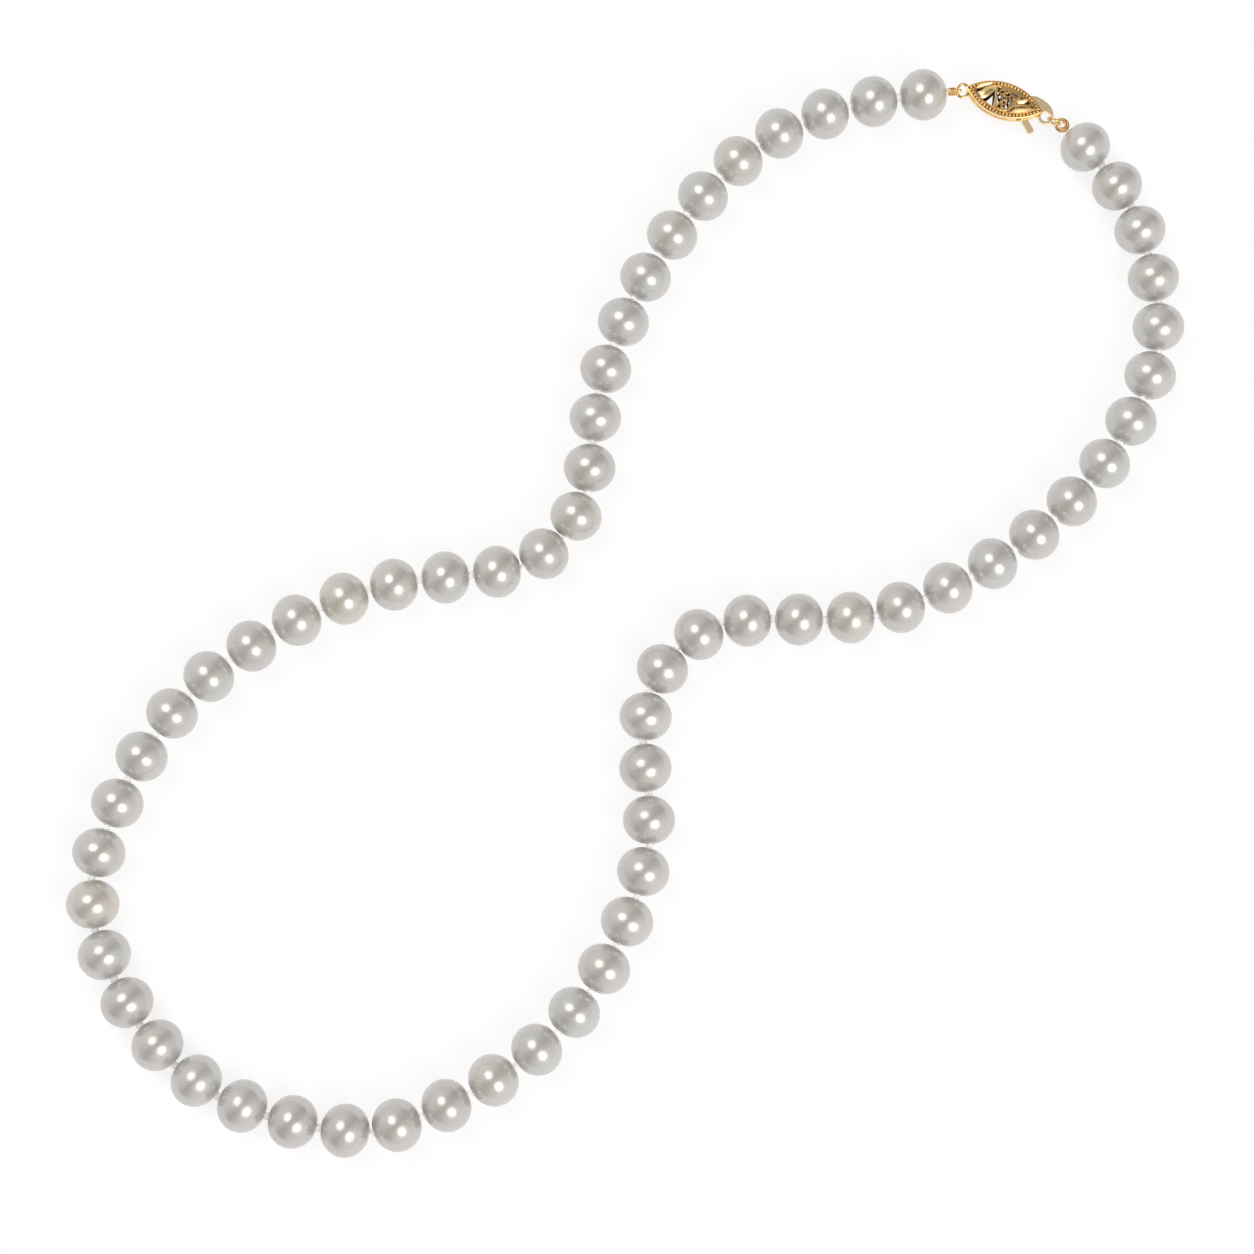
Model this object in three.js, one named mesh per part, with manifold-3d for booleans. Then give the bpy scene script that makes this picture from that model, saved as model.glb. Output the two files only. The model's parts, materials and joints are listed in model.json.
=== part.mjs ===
// A pearl necklace: one strand of knotted pearls closed by a filigree fish-hook clasp.
// Millimetres, +Z up. The strand lies flat on Z = 0 and the origin is under the middle of its outline.
// Each mesh's own origin is the point that it turns on: the knot, ring or eye nearer to the lowest pearls.

import * as THREE from "three";
import { mergeVertices } from "three/addons/utils/BufferGeometryUtils.js";
import Module from "manifold-3d";

const wasm = await Module();
wasm.setup();

// ---- Driving dimensions ----

// Strand
const PEARL_COUNT = 62;
const PEARL_DIAMETER = 7.24; // across the bore
const PEARL_LENGTH = 6.75; // along the bore
const PEARL_GAP = 0.36; // between two pearls, where the knot sits
const PEARL_SIDES = 10;
const SEAT_RADIUS = 0.45; // flat around the mouth of the bore
const FULL_WIDTH_ANGLE = 0.3; // up to this slope from its middle a pearl has its full width
const SHOULDER_ANGLE = 0.88;
const KNOT_RADIUS = 0.5;
const KNOT_HALF_THICKNESS = 0.13;
const THREAD_RADIUS = 0.26;
const THREAD_INTO_BORE = 0.6; // past the knot, where the thread joins the two pearls of a pair
const SINGLES_PER_ARM = 17; // pearls next to the clasp that are nodes of their own; the rest are in pairs

// Clasp body, in the clasp's own frame: +X towards the hook, +Y towards the hook's leaf
const BODY_HALF_LENGTH = 5.6;
const BODY_HALF_WIDTH = 2.45;
const SLOT_HEIGHT = 0.8; // between the two rims, where the hook slides
const RIM_THICKNESS = 0.35;
const RIM_WIDTH = 0.55;
const DOME_HEIGHT = 0.5;
const FILIGREE_THICKNESS = 0.3;
const FILIGREE_INSET = 0.12;
const WALL_THICKNESS = 0.35;
const WALL_INSET = 0.06;
const LEAF_SIDE_WALL_TO_POST = 1.6; // from the end of the wall beside the hook's leaf to the post
const POST_FROM_TIP = 3.6;
const POST_Y = -0.2;
const POST_RADIUS = 0.35;
const POST_BELOW_FILIGREE = 0.06;

// Hook
const HOOK_THICKNESS = 0.52;
const NOTCH_CLEARANCE = 0.15;
const FINGER_WIDTH = 0.6;
const FINGER_REACH = 0.9; // how far the finger comes down past the post's middle
const NOTCH_SHORTER = 0.2; // how much less the far side of the notch comes down
const FINGER_CORNER = 0.25;
const FINGER_SHOULDERS = [0.9, 1.2]; // of the finger's back, up from the post
const EYE_BEYOND_TIP = 0.7;
const EYE_Y = -0.3;
const EYE_HOLE_RADIUS = 0.7;
const EYE_RIM_RADIUS = 1.1;
const TAB_WIDTH = 1.0;
const TAB_ROOT_FROM_EYE = [-2.7, -1.5];
const TAB_TIP_FROM_EYE = [-1.4, -2.7];
const TAB_WALL_GAP = 1.1; // from the tab's root back to the end of the wall beside it
const TAB_TO_RIM = 0.4;
const RIM_FROM_EYE_Y = -0.75;
const RIM_START = Math.PI + 0.45; // where the eye's rim leaves the tab, and where it meets the leaf
const RIM_END = 2 * Math.PI + 0.1;
const LEAF_ROOT_FROM_EYE = [0.85, 0.95];
const LEAF_BULGE_FROM_EYE = [-0.1, 2.3];
const LEAF_TOP_FROM_EYE = [-2.2, 2.4];
const LEAF_BACK_FROM_POST = [1.0, 2.0];
const LEAF_FOOT_FROM_POST = [0.0, 1.5];

// Rings and the gold wire loops that join the thread to the clasp
const END_RING_BEYOND_TIP = 0.32;
const END_RING_Y = -0.4;
const END_RING_RADIUS = 0.8;
const END_RING_WIRE = 0.17;
const LUG_LENGTH = 1.1;
const LUG_WIDTH = 0.9;
const JUMP_RING_WIRE = 0.17;
const JUMP_RING_CLEARANCE = 0.085;
const RIM_TO_BULLION = 0.39; // between the eye's rim and the wire ring that the jump ring also holds
const BULLION_WIRE = 0.25;
const BULLION_RING_RADIUS = 0.85;
const LOOP_CLEARANCE = 0.07;

// Place of the clasp in the strand, before the whole is centred
const CLASP_PLACE = [51.5, 70.7];
const CLASP_TURN = THREE.MathUtils.degToRad(-18.4);
const FIRST_PULL = THREE.MathUtils.degToRad(-155.4); // from the end ring to the first pearl, clasp's frame
const LAST_PULL = THREE.MathUtils.degToRad(-8.9); // from the eye to the last pearl
const FIRST_LOOP_LENGTH = 1.22; // from the end ring's wire to the thread's first end

// The route of the thread from the clasp's ring round to its hook
const ROUTE = [
  [30.5, 70.0],
  [17.5, 64.5],
  [7.5, 54.5],
  [0.0, 42.5],
  [-5.0, 29.0],
  [-6.5, 15.0],
  [-9.5, 8.5],
  [-15.0, 4.5],
  [-22.0, 3.5],
  [-36.0, 1.5],
  [-49.0, -4.5],
  [-60.5, -13.0],
  [-68.5, -25.0],
  [-73.0, -38.5],
  [-72.0, -45.5],
  [-65.5, -58.0],
  [-55.0, -67.0],
  [-41.5, -71.0],
  [-34.5, -71.5],
  [-22.0, -66.5],
  [-10.5, -58.5],
  [-2.5, -47.0],
  [2.0, -33.0],
  [1.0, -19.0],
  [2.0, -12.0],
  [5.5, -6.5],
  [11.5, -3.0],
  [18.0, -2.5],
  [32.5, -2.0],
  [46.0, 3.5],
  [57.5, 11.5],
  [67.0, 22.5],
  [72.5, 35.5],
  [72.5, 42.5],
  [69.0, 56.0],
];

// ---- Values that follow ----

const LINK = PEARL_LENGTH + PEARL_GAP;
const PEARL_RADIUS = PEARL_DIAMETER / 2;
const ROOT_PEARL = PEARL_COUNT / 2 + 1; // the pair that starts with this pearl holds both arms
const ARC_RADIUS = (BODY_HALF_LENGTH ** 2 + BODY_HALF_WIDTH ** 2) / (2 * BODY_HALF_WIDTH);
const ARC_CENTRE = ARC_RADIUS - BODY_HALF_WIDTH;
const POST_X = BODY_HALF_LENGTH - POST_FROM_TIP;
const RIM_BOTTOM = SLOT_HEIGHT / 2;
const RIM_TOP = RIM_BOTTOM + RIM_THICKNESS;
const EYE_X = BODY_HALF_LENGTH + EYE_BEYOND_TIP;
const END_RING_X = -(BODY_HALF_LENGTH + END_RING_BEYOND_TIP);
const TAB_ROOT = fromEye(TAB_ROOT_FROM_EYE);
const TAB_TIP = fromEye(TAB_TIP_FROM_EYE);
const JUMP_RING_HOLDS = EYE_RIM_RADIUS - EYE_HOLE_RADIUS + RIM_TO_BULLION + 2 * BULLION_WIRE;
const JUMP_RING_RADIUS = JUMP_RING_HOLDS / 2 + JUMP_RING_CLEARANCE + JUMP_RING_WIRE;

function along(start, angle, distance) {
  return new THREE.Vector2(Math.cos(angle), Math.sin(angle)).multiplyScalar(distance).add(start);
}

// Points of the clasp's own frame, from the first thread end through the clasp to the last.
const EYE = new THREE.Vector2(EYE_X, EYE_Y);
const END_RING = new THREE.Vector2(END_RING_X, END_RING_Y);
const CLASP_PIVOT = along(END_RING, FIRST_PULL, END_RING_RADIUS);
const FIRST_END = along(CLASP_PIVOT, FIRST_PULL, FIRST_LOOP_LENGTH);
const JUMP_PIVOT = along(EYE, LAST_PULL, EYE_RIM_RADIUS + RIM_TO_BULLION + BULLION_WIRE);
const JUMP_RING = along(EYE, LAST_PULL, EYE_HOLE_RADIUS + JUMP_RING_HOLDS / 2);
const BULLION_RING = along(JUMP_PIVOT, LAST_PULL, BULLION_RING_RADIUS);
const LAST_END = along(BULLION_RING, LAST_PULL, BULLION_RING_RADIUS + BULLION_WIRE - PEARL_GAP / 4);

// ---- Materials ----

const pearlColour = { color: 0xe9e4de, roughness: 0.22, metalness: 0.05 };
const goldColour = { color: 0xe0b35a, roughness: 0.25, metalness: 1.0 };

function mesh(name, geometry, look) {
  const made = new THREE.Mesh(geometry, new THREE.MeshStandardMaterial(look));
  made.name = name;
  return made;
}

// ---- Solids ----

function toSolid(geometry) {
  const bare = geometry.clone();
  bare.deleteAttribute("normal");
  bare.deleteAttribute("uv");
  const merged = mergeVertices(bare, 1e-5);
  return new wasm.Manifold(
    new wasm.Mesh({
      numProp: 3,
      vertProperties: merged.attributes.position.array,
      triVerts: new Uint32Array(merged.index.array),
    }),
  );
}

function toGeometry(solid) {
  const made = solid.getMesh();
  return new THREE.BufferGeometry()
    .setAttribute("position", new THREE.BufferAttribute(made.vertProperties, 3))
    .setIndex(new THREE.BufferAttribute(made.triVerts, 1));
}

function join(...geometries) {
  return toGeometry(geometries.map(toSolid).reduce((a, b) => a.add(b)));
}

function plate(shape, bottom, height, curveSegments = 8) {
  const settings = { depth: height, bevelEnabled: false, curveSegments };
  return new THREE.ExtrudeGeometry(shape, settings).translate(0, 0, bottom);
}

// ---- The thread's route and its knots ----

function claspPoint(point) {
  return point.clone().rotateAround(new THREE.Vector2(), CLASP_TURN).add(new THREE.Vector2(...CLASP_PLACE));
}

// The route grows about the clasp, and its two ends stay on the clasp.
function routeCurve(growth) {
  const middle = new THREE.Vector2(...CLASP_PLACE);
  const inner = ROUTE.map(([x, y]) => new THREE.Vector2(x, y).sub(middle).multiplyScalar(growth).add(middle));
  const points = [claspPoint(FIRST_END), ...inner, claspPoint(LAST_END)];
  const flat = points.map((p) => new THREE.Vector3(p.x, p.y, 0));
  return new THREE.CatmullRomCurve3(flat, false, "catmullrom", 0.5);
}

// Steps of one link along the curve, each measured straight from knot to knot.
function walk(curve) {
  const path = curve.getPoints(6000);
  const knots = [path[0].clone()];
  let i = 1;
  while (i < path.length && knots.length <= PEARL_COUNT) {
    const last = knots[knots.length - 1];
    if (path[i].distanceTo(last) < LINK) {
      i += 1;
      continue;
    }
    const inside = path[i - 1].distanceTo(last);
    const outside = path[i].distanceTo(last);
    const share = (LINK - inside) / (outside - inside);
    knots.push(path[i - 1].clone().lerp(path[i], share));
  }
  const spare = knots[knots.length - 1].distanceTo(path[path.length - 1]);
  return { knots, spare };
}

function findKnots() {
  let small = 0.5;
  let large = 2.0;
  for (let n = 0; n < 50; n++) {
    const growth = (small + large) / 2;
    const { knots, spare } = walk(routeCurve(growth));
    const tooLong = knots.length > PEARL_COUNT && spare > 0;
    if (tooLong) large = growth;
    else small = growth;
  }
  return walk(routeCurve(large)).knots;
}

const KNOTS = findKnots();

// ---- Pearls ----

// Half outline of a pearl about its bore, with the knot beyond it where the thread reaches that far.
function pearlProfile(threadReach) {
  const scale = 1 / Math.cos(Math.PI / PEARL_SIDES);
  const halfLength = PEARL_LENGTH / 2;
  const seatAngle = Math.acos(SEAT_RADIUS / PEARL_RADIUS);
  const waist = PEARL_RADIUS * scale;
  const middle = [-FULL_WIDTH_ANGLE, FULL_WIDTH_ANGLE].map((a) => [waist, halfLength * Math.sin(a)]);
  const curve = (a) => [waist * Math.cos(a), halfLength * Math.sin(a)];
  const shoulders = [-SHOULDER_ANGLE, SHOULDER_ANGLE].map(curve);
  const outline = [curve(-seatAngle), shoulders[0], ...middle, shoulders[1], curve(seatAngle)];
  const seat = halfLength * Math.sin(seatAngle);
  const points = [[0, -seat], ...outline];
  if (threadReach > 0) {
    const knot = LINK / 2;
    points.push([THREAD_RADIUS, seat]);
    points.push([KNOT_RADIUS, knot]);
    points.push([THREAD_RADIUS, knot + KNOT_HALF_THICKNESS]);
    if (threadReach > KNOT_HALF_THICKNESS) points.push([THREAD_RADIUS, knot + threadReach]);
    points.push([0, knot + threadReach]);
  } else points.push([0, seat]);
  return points.map(([r, t]) => new THREE.Vector2(r, t));
}

// A pearl with its bore along +X; one of its flat sides faces down.
function pearlGeometry(threadReach) {
  const flatDown = Math.PI / PEARL_SIDES;
  return new THREE.LatheGeometry(pearlProfile(threadReach), PEARL_SIDES, flatDown).rotateZ(-Math.PI / 2);
}

// A pearl between two knots, in the frame of the point given as its origin.
function pearlBetween(from, to, origin, threadReach) {
  const middle = from.clone().add(to).multiplyScalar(0.5).sub(origin);
  const angle = Math.atan2(to.y - from.y, to.x - from.x);
  return pearlGeometry(threadReach).rotateZ(angle).translate(middle.x, middle.y, 0);
}

function two(n) {
  return String(n).padStart(2, "0");
}

// The pearls from first to last as one node, with the knot that it turns on and the one between a pair.
function pearlNode(first, last) {
  const onFirstArm = last < ROOT_PEARL;
  const isRoot = first === ROOT_PEARL;
  const pivot = onFirstArm ? KNOTS[last] : isRoot ? KNOTS[first] : KNOTS[first - 1];
  const pieces = [];
  for (let n = first; n <= last; n++) {
    const knotIsAfter = onFirstArm || (isRoot && n === first);
    const [from, to] = knotIsAfter ? [KNOTS[n - 1], KNOTS[n]] : [KNOTS[n], KNOTS[n - 1]];
    const innerKnot = knotIsAfter ? n < last || isRoot : n > first;
    const reach = innerKnot ? THREAD_INTO_BORE : KNOT_HALF_THICKNESS;
    pieces.push(pearlBetween(from, to, pivot, isRoot && n === last ? 0 : reach));
  }
  const name = first === last ? `pearl_${two(first)}` : `pearls_${two(first)}_${two(last)}`;
  const made = mesh(name, pieces.length > 1 ? join(...pieces) : pieces[0], pearlColour);
  made.position.copy(pivot);
  return made;
}

// ---- Clasp body ----

// The pointed oval of the body, moved in by the distance given.
function bodyOutline(inset) {
  const radius = ARC_RADIUS - inset;
  const tip = Math.asin(ARC_CENTRE / radius);
  const outline = new THREE.Shape();
  outline.absarc(0, -ARC_CENTRE, radius, tip, Math.PI - tip, false);
  outline.absarc(0, ARC_CENTRE, radius, Math.PI + tip, 2 * Math.PI - tip, false);
  return outline;
}

function halfWidthAt(x) {
  return Math.sqrt(ARC_RADIUS ** 2 - x ** 2) - ARC_CENTRE;
}

function domeLift(x, y) {
  const along = Math.min(1, Math.abs(x) / BODY_HALF_LENGTH);
  const across = Math.min(1, Math.abs(y) / Math.max(halfWidthAt(x), 1e-6));
  return DOME_HEIGHT * (1 - across ** 2) * Math.sqrt(1 - along ** 2);
}

// A pointed leaf-shaped opening.
function leafHole(x, y, length, width, angle) {
  const at = (u, v) => {
    const point = new THREE.Vector2(u * length, v * width).rotateAround(new THREE.Vector2(), angle);
    return [point.x + x, point.y + y];
  };
  const hole = new THREE.Path();
  hole.moveTo(...at(-0.5, 0));
  hole.quadraticCurveTo(...at(0, 1), ...at(0.5, 0));
  hole.quadraticCurveTo(...at(0, -1), ...at(-0.5, 0));
  return hole;
}

// Openings as shares of the body's half length and half width, and the angle of each.
// All but the first are in pairs, one turned half a circle from the other.
const LEAVES = [
  { x: 0.0, y: 0.0, length: 0.27, width: 0.27, angle: 0.9 },
  { x: 0.13, y: 0.47, length: 0.27, width: 0.24, angle: -0.15 },
  { x: 0.26, y: -0.11, length: 0.23, width: 0.22, angle: 1.1 },
  { x: 0.46, y: 0.31, length: 0.24, width: 0.22, angle: -0.35 },
  { x: 0.54, y: -0.15, length: 0.23, width: 0.18, angle: 0.15 },
  { x: 0.73, y: 0.05, length: 0.13, width: 0.13, angle: 0.0 },
];

function filigreeShape() {
  const shape = bodyOutline(FILIGREE_INSET);
  for (const { x, y, length, width, angle } of LEAVES) {
    for (const side of x === 0 ? [1] : [1, -1]) {
      const place = [side * x * BODY_HALF_LENGTH, side * y * BODY_HALF_WIDTH];
      shape.holes.push(leafHole(...place, length * BODY_HALF_LENGTH, width * BODY_HALF_WIDTH, angle));
    }
  }
  return shape;
}

// side is +1 for the upper shell and -1 for the lower one.
function flipped(geometry, side) {
  return side > 0 ? geometry : geometry.rotateX(Math.PI);
}

function filigree(side) {
  const geometry = plate(filigreeShape(), RIM_TOP, FILIGREE_THICKNESS, 4);
  const place = geometry.attributes.position;
  for (let i = 0; i < place.count; i++) {
    place.setZ(i, place.getZ(i) + domeLift(place.getX(i), place.getY(i)));
  }
  return flipped(geometry, side);
}

function rim(side) {
  const shape = bodyOutline(0);
  shape.holes.push(bodyOutline(RIM_WIDTH));
  return flipped(plate(shape, RIM_BOTTOM, RIM_THICKNESS), side);
}

// A strip of wall between the rims, from near the end ring to the X given.
function sideWall(side, endX) {
  const outer = ARC_RADIUS - WALL_INSET;
  const inner = outer - WALL_THICKNESS;
  const startX = END_RING_X + END_RING_RADIUS + LUG_LENGTH + LOOP_CLEARANCE;
  const start = Math.PI - Math.acos(-startX / outer);
  const end = Math.acos(endX / outer);
  const shape = new THREE.Shape();
  shape.absarc(0, -ARC_CENTRE, outer, end, start, false);
  shape.absarc(0, -ARC_CENTRE, inner, start, end, true);
  return flipped(plate(shape, -SLOT_HEIGHT / 2, SLOT_HEIGHT), side);
}

function postGeometry() {
  const reach = RIM_TOP + domeLift(POST_X, POST_Y) - POST_BELOW_FILIGREE;
  const height = 2 * reach;
  return new THREE.CylinderGeometry(POST_RADIUS, POST_RADIUS, height, 12)
    .rotateX(Math.PI / 2)
    .translate(POST_X, POST_Y, 0);
}

// The ring for the thread, with the lug that holds it between the two rims.
function endRing() {
  const ring = new THREE.TorusGeometry(END_RING_RADIUS, END_RING_WIRE, 6, 20);
  const lug = new THREE.BoxGeometry(LUG_LENGTH, LUG_WIDTH, SLOT_HEIGHT);
  lug.translate(END_RING_RADIUS + LUG_LENGTH / 2, -END_RING_Y, 0);
  return join(ring, lug).translate(END_RING_X, END_RING_Y, 0);
}

// ---- Hook ----

function fromEye([x, y]) {
  return [EYE_X + x, EYE_Y + y];
}

function fromPost([x, y]) {
  return [POST_X + x, POST_Y + y];
}

// The finger and the notch beside the post, then the tab, the eye's rim and the leaf, back to the finger.
function hookShape() {
  const notchLeft = POST_X - POST_RADIUS - NOTCH_CLEARANCE;
  const notchRight = POST_X + POST_RADIUS + NOTCH_CLEARANCE;
  const notchTop = POST_Y + POST_RADIUS + NOTCH_CLEARANCE;
  const fingerEnd = POST_Y - FINGER_REACH;
  const fingerLeft = notchLeft - FINGER_WIDTH;
  const tabRun = new THREE.Vector2(TAB_TIP[0] - TAB_ROOT[0], TAB_TIP[1] - TAB_ROOT[1]).normalize();
  const across = new THREE.Vector2(-tabRun.y, tabRun.x).multiplyScalar(TAB_WIDTH / 2);
  const acrossAngle = across.angle();
  const shape = new THREE.Shape();
  shape.moveTo(fingerLeft, fingerEnd);
  shape.lineTo(notchLeft, fingerEnd);
  shape.lineTo(notchLeft, notchTop);
  shape.lineTo(notchRight, notchTop);
  shape.lineTo(notchRight, fingerEnd + NOTCH_SHORTER);
  shape.lineTo(TAB_ROOT[0] - across.x, TAB_ROOT[1] - across.y);
  shape.absarc(TAB_TIP[0], TAB_TIP[1], TAB_WIDTH / 2, acrossAngle - Math.PI, acrossAngle, false);
  shape.lineTo(TAB_ROOT[0] + across.x, TAB_ROOT[1] + across.y);
  shape.lineTo(TAB_ROOT[0] + across.x + TAB_TO_RIM, EYE_Y + RIM_FROM_EYE_Y);
  shape.absarc(EYE_X, EYE_Y, EYE_RIM_RADIUS, RIM_START, RIM_END, false);
  shape.lineTo(...fromEye(LEAF_ROOT_FROM_EYE));
  shape.quadraticCurveTo(...fromEye(LEAF_BULGE_FROM_EYE), ...fromEye(LEAF_TOP_FROM_EYE));
  shape.quadraticCurveTo(...fromPost(LEAF_BACK_FROM_POST), ...fromPost(LEAF_FOOT_FROM_POST));
  shape.lineTo(fingerLeft + FINGER_CORNER, POST_Y + FINGER_SHOULDERS[1]);
  shape.lineTo(fingerLeft, POST_Y + FINGER_SHOULDERS[0]);
  shape.closePath();
  const eye = new THREE.Path();
  eye.absarc(EYE_X, EYE_Y, EYE_HOLE_RADIUS, 0, 2 * Math.PI, true);
  shape.holes.push(eye);
  return shape;
}

// ---- Rings and wire loops ----

// A closed loop of round wire, stretched along X: two half rings and the straight runs between them.
function stretchedLoop(radius, wire, straight) {
  const geometry = new THREE.TorusGeometry(radius, wire, 8, 16);
  const place = geometry.attributes.position;
  for (let i = 0; i < place.count; i++) {
    const side = Math.sign(Math.round(place.getX(i) * 1e4));
    place.setX(i, place.getX(i) + (side * straight) / 2);
  }
  return geometry;
}

// Upright loop of wire from the first thread end through the end ring.
function firstBullion() {
  const opening = END_RING_WIRE + LOOP_CLEARANCE;
  const radius = opening + BULLION_WIRE;
  const length = FIRST_LOOP_LENGTH + END_RING_WIRE + LOOP_CLEARANCE + 2 * BULLION_WIRE;
  const straight = length - 2 * (radius + BULLION_WIRE);
  return stretchedLoop(radius, BULLION_WIRE, straight)
    .rotateX(Math.PI / 2)
    .translate(length / 2, 0, 0)
    .rotateZ(FIRST_PULL + Math.PI);
}

// ---- Assembly ----

const strand = new THREE.Group();
for (let n = 1; n <= SINGLES_PER_ARM; n++) strand.add(pearlNode(n, n));
for (let n = SINGLES_PER_ARM + 1; n < PEARL_COUNT - SINGLES_PER_ARM; n += 2) {
  strand.add(pearlNode(n, n + 1));
}
for (let n = PEARL_COUNT - SINGLES_PER_ARM + 1; n <= PEARL_COUNT; n++) strand.add(pearlNode(n, n));

const clasp = new THREE.Group();
clasp.position.set(...CLASP_PLACE, 0);
clasp.rotation.z = CLASP_TURN;

// Puts a mesh in the clasp with its origin at the point that it turns on.
function fit(name, geometry, pivot, look = goldColour) {
  const made = mesh(name, geometry.translate(-pivot.x, -pivot.y, 0), look);
  made.position.set(pivot.x, pivot.y, 0);
  clasp.add(made);
}

fit("upper_filigree", filigree(1), CLASP_PIVOT);
fit("lower_filigree", filigree(-1), CLASP_PIVOT);
fit("upper_milgrain_rim", rim(1), CLASP_PIVOT);
fit("lower_milgrain_rim", rim(-1), CLASP_PIVOT);
fit("leaf_side_wall", sideWall(1, POST_X - LEAF_SIDE_WALL_TO_POST), CLASP_PIVOT);
fit("tab_side_wall", sideWall(-1, TAB_ROOT[0] - TAB_WALL_GAP), CLASP_PIVOT);
fit("catch_post", postGeometry(), CLASP_PIVOT);
fit("end_ring", endRing(), CLASP_PIVOT);
fit("hook_plate", plate(hookShape(), -HOOK_THICKNESS / 2, HOOK_THICKNESS), EYE);
fit(
  "jump_ring",
  new THREE.TorusGeometry(JUMP_RING_RADIUS, JUMP_RING_WIRE, 8, 20)
    .rotateX(Math.PI / 2)
    .rotateZ(LAST_PULL)
    .translate(JUMP_RING.x, JUMP_RING.y, 0),
  JUMP_PIVOT,
);
fit("bullion_loop_first", firstBullion().translate(FIRST_END.x, FIRST_END.y, 0), FIRST_END);
fit(
  "bullion_ring_last",
  new THREE.TorusGeometry(BULLION_RING_RADIUS, BULLION_WIRE, 8, 20)
    .translate(BULLION_RING.x, BULLION_RING.y, 0),
  LAST_END,
);

const necklace = new THREE.Group();
necklace.add(strand, clasp);

// The origin goes under the middle of the outline, with the pearls resting on Z = 0.
const box = new THREE.Box3().setFromObject(necklace, true);
const middle = box.getCenter(new THREE.Vector3());
necklace.position.set(-middle.x, -middle.y, -box.min.z);

export default necklace;
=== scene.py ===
"""A knotted pearl necklace with a filigree fish-hook clasp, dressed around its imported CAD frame."""

import json
import math
import random

import bpy
import numpy as np
from mathutils import Matrix, Vector


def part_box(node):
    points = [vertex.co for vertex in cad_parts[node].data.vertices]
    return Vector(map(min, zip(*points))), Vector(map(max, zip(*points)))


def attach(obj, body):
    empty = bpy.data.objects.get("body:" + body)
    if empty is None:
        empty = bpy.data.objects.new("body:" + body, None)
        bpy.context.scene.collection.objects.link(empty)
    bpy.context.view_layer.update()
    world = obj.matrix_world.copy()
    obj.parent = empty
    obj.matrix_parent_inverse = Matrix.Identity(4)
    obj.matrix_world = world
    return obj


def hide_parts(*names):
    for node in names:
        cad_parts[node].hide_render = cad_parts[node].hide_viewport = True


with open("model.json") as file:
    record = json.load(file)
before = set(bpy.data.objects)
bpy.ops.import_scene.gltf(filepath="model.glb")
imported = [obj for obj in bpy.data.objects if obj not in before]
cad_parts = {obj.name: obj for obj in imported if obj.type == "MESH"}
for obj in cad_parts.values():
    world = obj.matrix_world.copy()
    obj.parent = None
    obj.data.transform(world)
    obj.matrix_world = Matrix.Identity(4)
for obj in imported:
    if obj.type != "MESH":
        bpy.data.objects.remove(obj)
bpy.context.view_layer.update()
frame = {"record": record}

MM = 0.001

# ---- Sizes, in millimetres, as in the CAD source ----

PEARL_COUNT = 62
PEARL_DIAMETER = 7.24
PEARL_LENGTH = 6.75
PEARL_GAP = 0.36
LINK = PEARL_LENGTH + PEARL_GAP
ROOT_PEARL = 32  # the pair that starts with this pearl holds both arms of the strand
SINGLES_PER_ARM = 17  # pearls next to the clasp that are CAD nodes of their own

BODY_HALF_LENGTH = 5.6
BODY_HALF_WIDTH = 2.45
ARC_RADIUS = (BODY_HALF_LENGTH**2 + BODY_HALF_WIDTH**2) / (2 * BODY_HALF_WIDTH)
ARC_CENTRE = ARC_RADIUS - BODY_HALF_WIDTH
SLOT_HALF_HEIGHT = 0.4
POST = (2.0, -0.2)
POST_RADIUS = 0.35
LEAF_SIDE_WALL_TO_POST = 1.6
TAB_WALL_GAP = 1.1

EYE = np.array([6.3, -0.3])
EYE_HOLE_RADIUS = 0.7
EYE_RIM_RADIUS = 1.1
HOOK_THICKNESS = 0.52
NOTCH_CLEARANCE = 0.15
FINGER_WIDTH = 0.6
FINGER_REACH = 0.9
TAB_WIDTH = 1.0
TAB_ROOT = EYE + (-2.7, -1.5)
TAB_TIP = EYE + (-1.4, -2.7)

END_RING = np.array([-5.92, -0.4])
END_RING_RADIUS = 0.8
RING_WIRE = 0.17
BULLION_WIRE = 0.25
BULLION_RING_RADIUS = 0.85
FIRST_LOOP_LENGTH = 1.22
LOOP_CLEARANCE = 0.07
RIM_TO_BULLION = 0.39
JUMP_RING_CLEARANCE = 0.085

CLASP_PLACE = np.array([51.5, 70.7])
CLASP_TURN = math.radians(-18.4)
FIRST_PULL = math.radians(-155.4)
LAST_PULL = math.radians(-8.9)

# The route of the thread from the clasp's ring round to its hook.
ROUTE = [
    (30.5, 70.0), (17.5, 64.5), (7.5, 54.5), (0.0, 42.5), (-5.0, 29.0), (-6.5, 15.0), (-9.5, 8.5),
    (-15.0, 4.5), (-22.0, 3.5), (-36.0, 1.5), (-49.0, -4.5), (-60.5, -13.0), (-68.5, -25.0),
    (-73.0, -38.5), (-72.0, -45.5), (-65.5, -58.0), (-55.0, -67.0), (-41.5, -71.0), (-34.5, -71.5),
    (-22.0, -66.5), (-10.5, -58.5), (-2.5, -47.0), (2.0, -33.0), (1.0, -19.0), (2.0, -12.0),
    (5.5, -6.5), (11.5, -3.0), (18.0, -2.5), (32.5, -2.0), (46.0, 3.5), (57.5, 11.5), (67.0, 22.5),
    (72.5, 35.5), (72.5, 42.5), (69.0, 56.0),
]


def unit(angle):
    return np.array([math.cos(angle), math.sin(angle)])


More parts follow.
